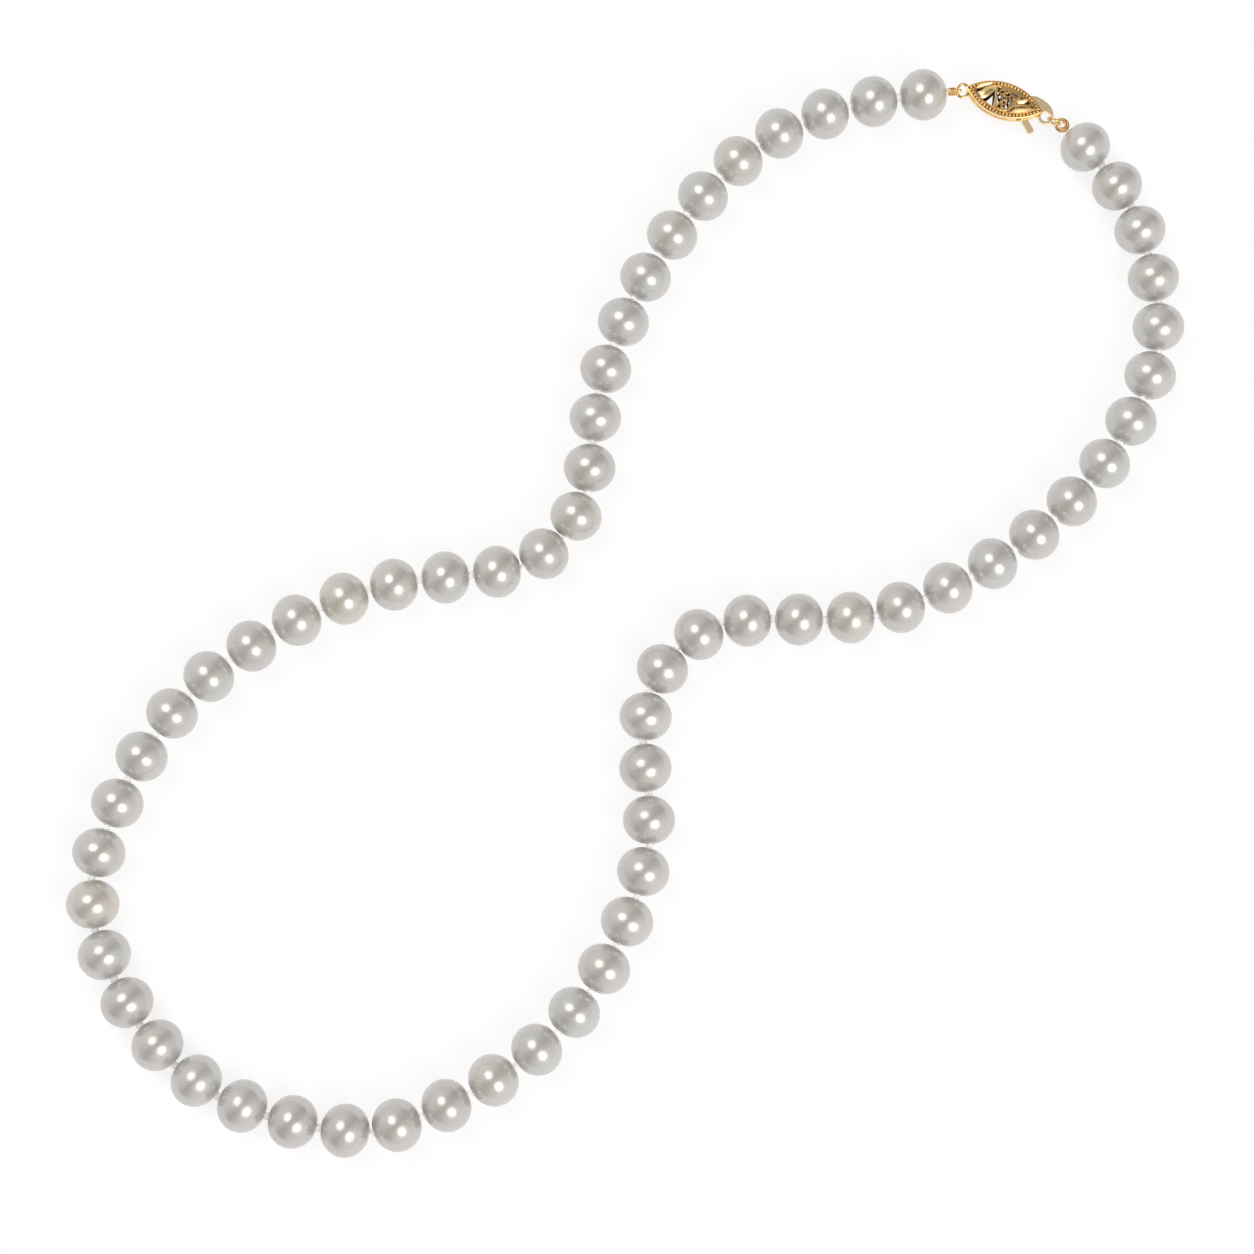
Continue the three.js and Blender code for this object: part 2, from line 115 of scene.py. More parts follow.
FIRST_END = END_RING + unit(FIRST_PULL) * (END_RING_RADIUS + FIRST_LOOP_LENGTH)
JUMP_RING_HOLDS = EYE_RIM_RADIUS - EYE_HOLE_RADIUS + RIM_TO_BULLION + 2 * BULLION_WIRE
JUMP_RING_RADIUS = JUMP_RING_HOLDS / 2 + JUMP_RING_CLEARANCE + RING_WIRE
JUMP_RING = EYE + unit(LAST_PULL) * (EYE_HOLE_RADIUS + JUMP_RING_HOLDS / 2)
BULLION_RING = EYE + unit(LAST_PULL) * (
    EYE_RIM_RADIUS + RIM_TO_BULLION + BULLION_WIRE + BULLION_RING_RADIUS
)
LAST_END = BULLION_RING + unit(LAST_PULL) * (BULLION_RING_RADIUS + BULLION_WIRE - PEARL_GAP / 4)

# ---- Places in the frame ----


def turned(point, angle):
    c, s = math.cos(angle), math.sin(angle)
    return np.array([c * point[0] - s * point[1], s * point[0] + c * point[1]])


def clasp_point(point):
    return turned(point, CLASP_TURN) + CLASP_PLACE


# The catch post is a straight pin, so the middle of its box is the middle of the strand's height.
post_low, post_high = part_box("catch_post")
post_middle = np.array((post_low + post_high) / 2) / MM
SHIFT = post_middle[:2] - clasp_point(POST)
STRAND_Z = post_middle[2]
CLASP_MATRIX = Matrix.Translation(
    Vector((*(CLASP_PLACE + SHIFT), STRAND_Z)) * MM
) @ Matrix.Rotation(CLASP_TURN, 4, "Z")


def route_points(growth, steps=6000):
    """The route grown about the clasp, as points along its Catmull-Rom curve."""
    inner = [CLASP_PLACE + growth * (np.array(p) - CLASP_PLACE) for p in ROUTE]
    p = np.array([clasp_point(FIRST_END), *inner, clasp_point(LAST_END)])
    p = np.vstack([2 * p[0] - p[1], p, 2 * p[-1] - p[-2]])
    spans = len(p) - 3
    at = np.linspace(0, spans, steps + 1)
    k = np.minimum(at.astype(int), spans - 1)
    t = (at - k)[:, None]
    start, end = p[k + 1], p[k + 2]
    leave, arrive = 0.5 * (end - p[k]), 0.5 * (p[k + 3] - start)
    square = -3 * start + 3 * end - 2 * leave - arrive
    cube = 2 * start - 2 * end + leave + arrive
    return start + leave * t + square * t**2 + cube * t**3


def walk(path):
    """Knots one link apart along the path, and the distance left after the last."""
    knots = [path[0]]
    i = 1
    while i < len(path) and len(knots) <= PEARL_COUNT:
        outside = math.dist(path[i], knots[-1])
        if outside < LINK:
            i += 1
            continue
        inside = math.dist(path[i - 1], knots[-1])
        share = (LINK - inside) / (outside - inside)
        knots.append(path[i - 1] + share * (path[i] - path[i - 1]))
    return knots, math.dist(knots[-1], path[-1])


def find_knots():
    """The knots of the route on which the last one ends at the clasp."""
    small, large = 0.5, 2.0
    for _ in range(50):
        growth = (small + large) / 2
        knots, spare = walk(route_points(growth))
        if len(knots) > PEARL_COUNT and spare > 0:
            large = growth
        else:
            small = growth
    return [np.array([*(k + SHIFT), STRAND_Z]) for k in walk(route_points(large))[0]]


KNOTS = find_knots()

# ---- Meshes ----
# A skin is (points in mm, faces, crest), where crest runs from 0 deep in a recess to 1 on top; the gold
# materials paint shade into the low crest values.


def skin(rings, loop=False, crest=None):
    """The surface over rings of points; the ends of an open one are capped."""
    rows, columns, _ = rings.shape
    last = rows if loop else rows - 1
    faces = []
    for i in range(last):
        j = (i + 1) % rows
        for a in range(columns):
            b = (a + 1) % columns
            faces.append((i * columns + a, i * columns + b, j * columns + b, j * columns + a))
    if not loop:
        faces.append(tuple(reversed(range(columns))))
        faces.append(tuple(range((rows - 1) * columns, rows * columns)))
    height = np.ones(rows * columns) if crest is None else np.asarray(crest, float).ravel()
    return rings.reshape(-1, 3), faces, height


def merged(skins):
    points, faces, crest = [], [], []
    start = 0
    for p, f, c in skins:
        points.append(p)
        crest.append(c)
        faces += [tuple(i + start for i in face) for face in f]
        start += len(p)
    return np.vstack(points), faces, np.concatenate(crest)


def directions(path, loop):
    """Unit tangents of a path."""
    if loop:
        along = np.roll(path, -1, axis=0) - np.roll(path, 1, axis=0)
    else:
        along = np.gradient(path, axis=0)
    return along / np.linalg.norm(along, axis=1)[:, None]


def carried_frames(path, loop):
    """A side and an up vector at each point, carried along the path without twist."""
    along = directions(path, loop)
    first = np.cross(along[0], (0.31, 0.17, 0.93))
    side = [first / np.linalg.norm(first)]
    for t in along[1:]:
        s = side[-1] - np.dot(side[-1], t) * t
        side.append(s / np.linalg.norm(s))
    side = np.array(side)
    if loop:
        missed = side[-1] - np.dot(side[-1], along[0]) * along[0]
        missed /= np.linalg.norm(missed)
        angle = math.atan2(np.dot(np.cross(missed, side[0]), along[0]), np.dot(missed, side[0]))
        turn = np.linspace(0, angle, len(path))[:, None]
        side = side * np.cos(turn) + np.cross(along, side) * np.sin(turn)
    return side, np.cross(along, side)


def wire(path, radius, loop=False, sides=12):
    """A round wire along a path in space."""
    side, up = carried_frames(path, loop)
    a = np.linspace(0, 2 * math.pi, sides, endpoint=False)
    around = side[:, None] * np.cos(a)[None, :, None] + up[:, None] * np.sin(a)[None, :, None]
    return skin(path[:, None] + around * radius, loop)


def evenly(path, step, loop=False):
    """The path again, in even steps."""
    whole = np.vstack([path, path[:1]]) if loop else path
    run = np.concatenate([[0], np.cumsum(np.linalg.norm(np.diff(whole, axis=0), axis=1))])
    count = max(3, round(run[-1] / step))
    at = np.linspace(0, run[-1], count + 1)
    made = np.stack([np.interp(at, run, whole[:, i]) for i in range(whole.shape[1])], axis=1)
    return made[:-1] if loop else made


def coiled(path, radius, strand, loop=False):
    """French wire: a fine strand wound closely round the path, over a solid core."""
    steps_per_turn = 9
    pitch = 1.9 * strand
    # The core under the coil gets a middle crest, so the gold paints it half in shade.
    core_step, core_crest = 0.12, 0.5
    fine = evenly(path, pitch / steps_per_turn, loop)
    side, up = carried_frames(fine, loop)
    turns = round(len(fine) / steps_per_turn) if loop else len(fine) / steps_per_turn
    a = np.linspace(0, 2 * math.pi * turns, len(fine), endpoint=not loop)[:, None]
    helix = fine + (radius - strand) * (side * np.cos(a) + up * np.sin(a))
    points, faces, crest = wire(evenly(path, core_step, loop), radius - 0.4 * strand, loop)
    return merged([(points, faces, crest * core_crest), wire(helix, strand, loop, 6)])


def smooth(points, steps):
    """A smooth open curve through a few points."""
    p = np.array(points, float)
    p = np.vstack([2 * p[0] - p[1], p, 2 * p[-1] - p[-2]])
    made = []
    for k in range(1, len(p) - 2):
        for t in np.linspace(0, 1, steps, endpoint=False):
            a, b, c, d = p[k - 1 : k + 3]
            made.append(
                0.5 * (2 * b + (c - a) * t + (2 * a - 5 * b + 4 * c - d) * t**2
                       + (3 * b - a - 3 * c + d) * t**3)
            )
    made.append(p[-2])
    return np.array(made)


def lathe(profile, sides):
    """A turned shape about the Z axis from (radius, height) pairs, the ends on the axis."""
    a = np.linspace(0, 2 * math.pi, sides, endpoint=False)
    rings = np.array([[(r * math.cos(b), r * math.sin(b), z) for b in a] for r, z in profile])
    return skin(rings)


SHARP_ANGLE = math.radians(38)


def piece(name, made, material, body, nodes, place=None):
    """A mesh piece that rides on a body and stands for CAD nodes."""
    points, faces, crest = made
    data = bpy.data.meshes.new(name)
    data.from_pydata((points * MM).tolist(), [], faces)
    data.attributes.new("crest", "FLOAT", "POINT").data.foreach_set("value", crest.astype(np.float32))
    if place is not None:
        data.transform(place)
    data.polygons.foreach_set("use_smooth", [True] * len(data.polygons))
    data.set_sharp_from_angle(angle=SHARP_ANGLE)
    data.materials.append(material)
    data.validate()
    obj = bpy.data.objects.new(name, data)
    bpy.context.scene.collection.objects.link(obj)
    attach(obj, body)
    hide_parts(*nodes)
    return obj


def body_of_node(node):
    return next(b for b, ns in frame["record"]["behaviour"]["bodies"].items() if node in ns)


# ---- Materials ----


def new_material(name, **settings):
    """A material with one Principled shader, and the values that are the same all over it."""
    material = bpy.data.materials.new(name)
    material.use_nodes = True
    shader = material.node_tree.nodes["Principled BSDF"]
    for key, value in settings.items():
        shader.inputs[key.replace("_", " ")].default_value = value
    return material, material.node_tree, shader


def add(tree, kind, **settings):
    """A node with some of its values set; an input is named with its spaces as underscores."""
    node = tree.nodes.new("ShaderNode" + kind)
    for key, value in settings.items():
        if hasattr(node, key):
            setattr(node, key, value)
        else:
            node.inputs[key.replace("_", " ")].default_value = value
    return node


def ramp(tree, source, stops):
    """A colour ramp from (place, colour) stops."""
    node = tree.nodes.new("ShaderNodeValToRGB")
    elements = node.color_ramp.elements
    while len(elements) < len(stops):
        elements.new(0.5)
    for element, (place, colour) in zip(elements, stops):
        element.position = place
        element.color = (*colour, 1)
    tree.links.new(source, node.inputs["Fac"])
    return node.outputs["Color"]


def spread(tree, source, low, high):
    """The values 0.3 to 0.7 of a noise, spread over low to high."""
    node = add(tree, "MapRange", From_Min=0.3, From_Max=0.7, To_Min=low, To_Max=high)
    tree.links.new(source, node.inputs["Value"])
    return node.outputs["Result"]


def noise(tree, scale, detail=3.0, roughness=0.5):
    """Noise over the piece's own place; the scale is in features per millimetre."""
    place = add(tree, "TexCoord")
    node = add(tree, "TexNoise", Scale=scale / MM, Detail=detail, Roughness=roughness)
    tree.links.new(place.outputs["Object"], node.inputs["Vector"])
    return node.outputs["Fac"]


def mixed(tree, share, a, b, blend="MIX"):
    """Two colours mixed; share is a number or a socket, and a and b are sockets or colours."""
    node = tree.nodes.new("ShaderNodeMix")
    node.data_type = "RGBA"
    node.blend_type = blend
    for socket, value in ((node.inputs[0], share), (node.inputs[6], a), (node.inputs[7], b)):
        if isinstance(value, bpy.types.NodeSocket):
            tree.links.new(value, socket)
        elif isinstance(value, (int, float)):
            socket.default_value = value
        else:
            socket.default_value = (*value, 1)
    return node.outputs[2]


def bump(tree, source, depth, strength, below=None):
    """A bump of this depth in millimetres, over another bump if one is given."""
    node = add(tree, "Bump", Strength=strength, Distance=depth * MM)
    tree.links.new(source, node.inputs["Height"])
    if below is not None:
        tree.links.new(below, node.inputs["Normal"])
    return node.outputs["Normal"]


def pearl_material():
    """Nacre: a soft body colour with a little rose and silver in it under a clear glossy skin."""
    material, tree, shader = new_material(
        "pearl_nacre", Metallic=0.42, Subsurface_Weight=0.3, Subsurface_Scale=1.2 * MM,
        Subsurface_Radius=(1.0, 0.8, 0.7), Specular_IOR_Level=0.35, Coat_Weight=0.22, Coat_Roughness=0.14,
        Coat_IOR=1.45, Thin_Film_Thickness=430.0, Thin_Film_IOR=1.33,
    )
    tone = add(tree, "Attribute", attribute_name="tone")
    body = ramp(tree, tone.outputs["Fac"], [
        (0.0, (0.595, 0.565, 0.54)), (0.35, (0.605, 0.585, 0.555)),
        (0.7, (0.60, 0.585, 0.565)), (1.0, (0.63, 0.595, 0.545)),
    ])
    orient = ramp(tree, noise(tree, 0.22, 2.0), [
        (0.35, (1.0, 0.97, 0.965)), (0.5, (1.0, 1.0, 0.99)), (0.65, (0.965, 0.98, 0.99)),
    ])
    clouds = mixed(tree, 0.7, body, orient, "MULTIPLY")
    veins = ramp(tree, noise(tree, 1.6, 5.0, 0.6), [(0.3, (0.975, 0.965, 0.955)), (0.6, (1.0, 1.0, 1.0))])
    tree.links.new(mixed(tree, 0.35, clouds, veins, "MULTIPLY"), shader.inputs["Base Color"])
    tree.links.new(spread(tree, noise(tree, 0.5, 2.0), 0.23, 0.29), shader.inputs["Roughness"])
    lumps = bump(tree, noise(tree, 0.45, 1.0), 0.05, 0.04)
    grain = bump(tree, noise(tree, 6.0, 2.0), 0.004, 0.05, lumps)
    tree.links.new(grain, shader.inputs["Normal"])
    return material


def silk_material():
    """White silk thread with fine fibres, and a faint glow of painted light that brightens the knots in the
    shade between the pearls.
    """
    # Emission is painted light: the silk glows a little though it is no lamp, to lift the knots out of the
    # shade between the pearls.
    material, tree, shader = new_material(
        "knot_silk", Emission_Color=(1.0, 0.98, 0.95, 1.0), Emission_Strength=0.14, Roughness=0.6,
        Sheen_Weight=0.3, Sheen_Roughness=0.4, Specular_IOR_Level=0.3,
        Subsurface_Weight=0.4, Subsurface_Scale=0.4 * MM, Subsurface_Radius=(1.0, 0.9, 0.8),
    )
    colour = ramp(tree, noise(tree, 3.0, 4.0), [(0.3, (0.92, 0.915, 0.90)), (0.6, (0.98, 0.975, 0.965))])
    tree.links.new(colour, shader.inputs["Base Color"])
    tree.links.new(bump(tree, noise(tree, 28.0, 2.0), 0.012, 0.6), shader.inputs["Normal"])
    return material


def gold_material(name, bright, painted_recess_shade, smoothest, roughest, grain, stained):
    """Gold alloy: bright on its crests, with painted shade darkening its recesses, and fine wear."""
    material, tree, shader = new_material(name, Metallic=1.0)
    crest = add(tree, "Attribute", attribute_name="crest")
    # Painted shade: where the crest is low the colour turns to the recess colour, standing in for the shade
    # and dark reflections in the recesses.
    depth = ramp(tree, crest.outputs["Fac"], [(0.0, painted_recess_shade), (0.4, bright), (1.0, bright)])
    stains = ramp(tree, noise(tree, 1.1, 4.0), [(0.32, (0.90, 0.84, 0.76)), (0.62, (1.0, 1.0, 1.0))])
    tree.links.new(mixed(tree, stained, depth, stains, "MULTIPLY"), shader.inputs["Base Color"])
    tree.links.new(spread(tree, noise(tree, 2.4, 4.0), smoothest, roughest), shader.inputs["Roughness"])
    waves = bump(tree, noise(tree, 1.5, 2.0), 0.03, grain)
    tree.links.new(bump(tree, noise(tree, 14.0, 3.0), 0.006, grain, waves), shader.inputs["Normal"])
    return material


PEARL = pearl_material()
SILK = silk_material()
# The second colour of each gold is painted shade for its recesses.
FILIGREE_GOLD = gold_material("filigree_gold", (0.94, 0.67, 0.31), (0.17, 0.08, 0.02), 0.18, 0.36, 0.3, 0.6)
PLATE_GOLD = gold_material("plate_gold", (0.98, 0.79, 0.49), (0.55, 0.36, 0.15), 0.34, 0.40, 0.03, 0.2)
WIRE_GOLD = gold_material("wire_gold", (0.84, 0.59, 0.26), (0.20, 0.10, 0.03), 0.18, 0.32, 0.2, 0.5)

# ---- Pearls and silk ----

HOLE_RADIUS = 0.38
HOLE_DEPTH = 0.45
LIP_RADIUS = 0.46
DIMPLE_DEPTH = 0.08  # how far the pearl is drawn in round its bore
DIMPLE_RADIUS = 0.5
PEARL_SHARE = 0.99  # a pearl's mean size as a share of its full size, which leaves room to swell
SWELL_WAVES = 5
SWELL = 0.0035
ANY_ANGLE = 6.28  # the top of a random angle, just under a full turn

THREAD_RADIUS = 0.34
KNOT_THREAD_RADIUS = 0.23
KNOT_SEED = 100  # added to a knot's number to seed its turn


def pearl_skin(rng):
    """A pearl with its bore along Z, slightly out of round, with a drilled hole at each end."""
    radius, half = PEARL_DIAMETER / 2, PEARL_LENGTH / 2
    edge = math.acos(LIP_RADIUS / radius)
    end = half * math.sin(edge) - DIMPLE_DEPTH
    hole = [(0.0, end - HOLE_DEPTH), (HOLE_RADIUS, end - HOLE_DEPTH), (HOLE_RADIUS, end - 0.05)]
    arc = []
    for a in np.linspace(edge, -edge, 44):
        r = radius * math.cos(a)
        dimple = DIMPLE_DEPTH * math.exp(-(((r - LIP_RADIUS) / DIMPLE_RADIUS) ** 2))
        arc.append((r, half * math.sin(a) - math.copysign(dimple, a)))
    profile = hole + arc + [(r, -z) for r, z in reversed(hole)]
    points, faces, crest = lathe(list(reversed(profile)), 48)
    away = points / (radius, radius, half)
    swell = np.zeros(len(points))
    for _ in range(SWELL_WAVES):
        wave = np.array([rng.gauss(0, 1) for _ in range(3)])
        swell += rng.uniform(-1, 1) * np.sin(away @ wave * 1.3 + rng.uniform(0, ANY_ANGLE))
    points = points * (PEARL_SHARE + SWELL * swell)[:, None]
    return points, faces, crest


def placed(made, middle, along):
    """A skin made about Z, moved to a middle with Z turned to a direction."""
    turn = Vector((0, 0, 1)).rotation_difference(Vector(along)).to_matrix()
    points, faces, crest = made
    return points @ np.array(turn).T + middle, faces, crest


def node_of_pearl(n):
    if n <= SINGLES_PER_ARM or n > PEARL_COUNT - SINGLES_PER_ARM:
        return f"pearl_{n:02d}"
    first = n if (n - SINGLES_PER_ARM) % 2 else n - 1
    return f"pearls_{first:02d}_{first + 1:02d}"


def add_pearls():
    for n in range(1, PEARL_COUNT + 1):
        rng = random.Random(n)
        middle = (KNOTS[n - 1] + KNOTS[n]) / 2
        roll = Matrix.Rotation(rng.uniform(0, ANY_ANGLE), 3, "Z")
        points, faces, crest = pearl_skin(rng)
        made = placed((points @ np.array(roll).T, faces, crest), middle, KNOTS[n] - KNOTS[n - 1])
        node = node_of_pearl(n)
        obj = piece(f"nacre_{n:02d}", made, PEARL, body_of_node(node), [node])
        tone = obj.data.attributes.new("tone", "FLOAT", "POINT")
        tone.data.foreach_set("value", [rng.random()] * len(obj.data.vertices))


def two_ply(path, radius, lay, loop=False):
    """Two strands of silk laid round each other along a path; lay is the length of one turn."""
    step = 0.05
    from_middle, ply_radius = 0.36 * radius, 0.68 * radius
    fine = evenly(path, step, loop)
    side, up = carried_frames(fine, loop)
    turns = max(1, round(len(fine) * step / lay))
    a = np.linspace(0, 2 * math.pi * turns, len(fine), endpoint=not loop)[:, None]
    plies = []
    for start in (0, math.pi):
        offset = side * np.cos(a + start) + up * np.sin(a + start)
        plies.append(wire(fine + offset * from_middle, ply_radius, loop, 10))
    return merged(plies)


def knot_skin(rng):
    """An overhand knot pulled tight between two pearls, on thread that runs into both bores, along Z."""
    t = np.linspace(0, 2 * math.pi, 60, endpoint=False)
    wide, flat = 0.14, 0.13
    trefoil = np.stack([
        wide * (np.sin(t) + 2 * np.sin(2 * t)), wide * (np.cos(t) - 2 * np.cos(2 * t)),
        -flat * np.sin(3 * t),
    ], axis=1)
    reach = PEARL_GAP / 2 + HOLE_DEPTH * 0.8
    core = np.array([(0, 0, z) for z in np.linspace(-reach, reach, 12)])
    points, faces, crest = merged([
        two_ply(trefoil, KNOT_THREAD_RADIUS, 0.5, True), two_ply(core, THREAD_RADIUS, 0.7),
    ])
    turn = np.array(Matrix.Rotation(rng.uniform(0, ANY_ANGLE), 3, "Z"))
    return points @ turn.T, faces, crest


def add_silk():
    """One piece for each CAD node that has knots, with the knots that belong to it."""
    owned = {}
    for k in range(1, PEARL_COUNT):
        pearl = k if k <= ROOT_PEARL else k + 1
        owned.setdefault(node_of_pearl(pearl), []).append(k)
    for node, knots in owned.items():
        skins = []
        for k in knots:
            along = KNOTS[k + 1] - KNOTS[k - 1]
            skins.append(placed(knot_skin(random.Random(KNOT_SEED + k)), KNOTS[k], along))
        name = "silk_" + "_".join(f"{k:02d}" for k in knots)
        piece(name, merged(skins), SILK, body_of_node(node), [node])


# ---- Clasp body, in the clasp's own frame ----

RIM_TOP = 0.98
LIP_WIDTH = 0.15
BEAD_INSET = 0.36
BEAD_PITCH = 0.49
BEZEL_INSET = 0.6
BEZEL_TOP = 0.96
SHELF_INSET = BEZEL_INSET + 0.24  # where the shelf inside the bezel ends
DOME_FOOT = RIM_TOP - 0.28
DOME_HEIGHT = 0.45
SCROLL_WIDTH = 0.15
SCROLL_HEIGHT = 0.26
WALL_START = -3.9  # both side walls start here, near the end ring's lug


def outline_point(side, share, inset):
    """A point of the body's pointed oval, moved in; side is +1 for the arc towards the hook's leaf."""
    radius = ARC_RADIUS - inset
    tip = math.asin(ARC_CENTRE / radius)
    a = tip + (math.pi - 2 * tip) * share
    return side * radius * math.cos(a), side * (radius * math.sin(a) - ARC_CENTRE)


def rim_ring(section, steps=40):
    """A closed band round the body from a section of (inset, height, crest) points."""
    rings = []
    for side in (1, -1):
        for i in range(steps):
            rings.append([(*outline_point(side, i / steps, inset), z) for inset, z, _ in section])
    crest = [[c for _, _, c in section]] * len(rings)
    return skin(np.array(rings), True, crest)


def towards(here, other, distance):
    """A point this far from one corner towards another, short of half way."""
    return here + (other - here) * min(0.45, distance / max(math.dist(other[:2], here[:2]), 1e-6))


def rounded(points, radius, steps=3):
    """A closed outline with each corner cut to a small arc."""
    made = []
    count = len(points)
    for i in range(count):
        before, here, after = (np.array(points[(i + d) % count], float) for d in (-1, 0, 1))
        a, b = towards(here, before, radius), towards(here, after, radius)
        for t in np.linspace(0, 1, steps):
            made.append(tuple((1 - t) ** 2 * a + 2 * t * (1 - t) * here + t**2 * b))
    return made


def bead(middle, along, half_length, half_width, height):
    """A low rounded bead that stands on a band."""
    rings, crest = [], []
    across = np.array([-along[1], along[0]])
    for a in np.linspace(0, math.pi / 2 - 0.12, 5):
        ring = []
        for b in np.linspace(0, 2 * math.pi, 10, endpoint=False):
            flat = along * half_length * math.cos(b) + across * half_width * math.sin(b)
            ring.append((*(middle[:2] + flat * math.cos(a)), middle[2] + height * math.sin(a)))
        rings.append(ring)
        # Crest falls towards the bead's foot, where the gold paints shade.
        crest.append([0.15 + 0.85 * math.sin(a)] * 10)
    return skin(np.array(rings), False, crest)


def up_or_down(made, side_up):
    """The same skin, or the one for the lower half: seen from above, the two halves line up."""
    points, faces, crest = made
    if side_up > 0:
        return made
    return points * (1, 1, -1), [tuple(reversed(f)) for f in faces], crest


def milgrain_rim(side_up):
    """One of the body's two rims: a smooth lip, a row of beads and the step up to the filigree."""
    channel = RIM_TOP - 0.12
    inner_edge = BEZEL_INSET + 0.04
    # The third number is the crest: low in the channel and at the inner edge, where the gold paints shade.
    section = rounded([
        (0.0, SLOT_HALF_HEIGHT, 0.5), (0.0, RIM_TOP - 0.06, 1.0), (LIP_WIDTH, RIM_TOP - 0.02, 1.0),
        (LIP_WIDTH + 0.05, channel, 0.05), (BEZEL_INSET - 0.06, channel, 0.05),
        (BEZEL_INSET - 0.03, RIM_TOP - 0.02, 0.7), (inner_edge, RIM_TOP - 0.05, 0.7),
        (inner_edge, SLOT_HALF_HEIGHT, 0.2),
    ], 0.04)
    skins = [rim_ring(section)]
    row_radius = ARC_RADIUS - BEAD_INSET
    length = row_radius * (math.pi - 2 * math.asin(ARC_CENTRE / row_radius))
    count = round(length / BEAD_PITCH)
    for side in (1, -1):
        for i in range(count):
            share = (i + 0.5) / count
            here = np.array(outline_point(side, share, BEAD_INSET))
            along = np.array(outline_point(side, share + 0.01, BEAD_INSET)) - here
            along /= np.linalg.norm(along)
            skins.append(bead(np.array([*here, RIM_TOP - 0.13]), along, 0.2, 0.2, 0.22))
    return up_or_down(merged(skins), side_up)


def half_width_at(x):
    return math.sqrt(ARC_RADIUS**2 - x**2) - ARC_CENTRE


def dome(x, y):
    """Height of the domed filigree's face over the slot's middle."""
    along = min(1, abs(x) / BODY_HALF_LENGTH)
    short_of_tip = min(abs(x), BODY_HALF_LENGTH - 0.1)
    across = min(1, abs(y) / half_width_at(short_of_tip))
    return DOME_FOOT + DOME_HEIGHT * (1 - across**2) * math.sqrt(1 - along**2)


def ribbon(points, width, height=SCROLL_HEIGHT, steps=8, ridge=0.0, veined=False):
    """A strip on the dome through a few points; width is a half width or a function of the share along."""
    flat = smooth(points, steps)
    along = directions(flat, False)
    across = np.stack([-along[:, 1], along[:, 0]], axis=1)
    # The third number is the crest: low at the strip's edges, where the gold paints shade.
    section = [
        (-1, 0, 0), (-0.95, 0.7, 0.5), (-0.55, 1, 1), (0, 1 + ridge, 1),
        (0.55, 1, 1), (0.95, 0.7, 0.5), (1, 0, 0),
    ]
    rings, crest = [], []
    count = len(flat)
    for i in range(count):
        share = i / (count - 1)
        half = width(share) if callable(width) else width
        cut = 0.16 * (i % 2) if veined else 0.0
        ring = []
        for a, z, _ in section:
            x, y = flat[i] + across[i] * half * a
            ring.append((x, y, dome(x, y) + height * (z - cut * (z > 0.9) * (0.3 + abs(a)))))
        rings.append(ring)
        # Pressed veins get a lower crest, so the gold paints shade into them.
        crest.append([c * (1 - 2.2 * cut) for _, _, c in section])
    return skin(np.array(rings)[:, ::-1], False, np.array(crest)[:, ::-1])


def leaf(start, bend, end, half_width, veined=True):
    """A pointed blade with a raised middle, and pressed veins if it is veined."""
    def width(share):
        return 0.04 + half_width * math.sin(math.pi * share) ** 0.75

    return ribbon([start, bend, end], width, steps=14, ridge=0.35, veined=veined)


def scroll(centre, radius, start, sweep, tail=()):
    """A curl that opens from a small ball into an arc, then runs on through the tail's points."""
    turns = math.radians(sweep)
    points = []
    for share in np.linspace(0, 1, 9):
        a = math.radians(start) + turns * share
        r = radius * (0.55 + 0.45 * min(1, share * 1.5))
        points.append((centre[0] + r * math.cos(a), centre[1] + r * math.sin(a)))
    made = ribbon(points + list(tail), SCROLL_WIDTH, steps=4)
    x, y = points[0]
    ball = bead(np.array([x, y, dome(x, y) - 0.02]), np.array([1.0, 0.0]), 0.2, 0.2, 0.34)
    return [made, ball]


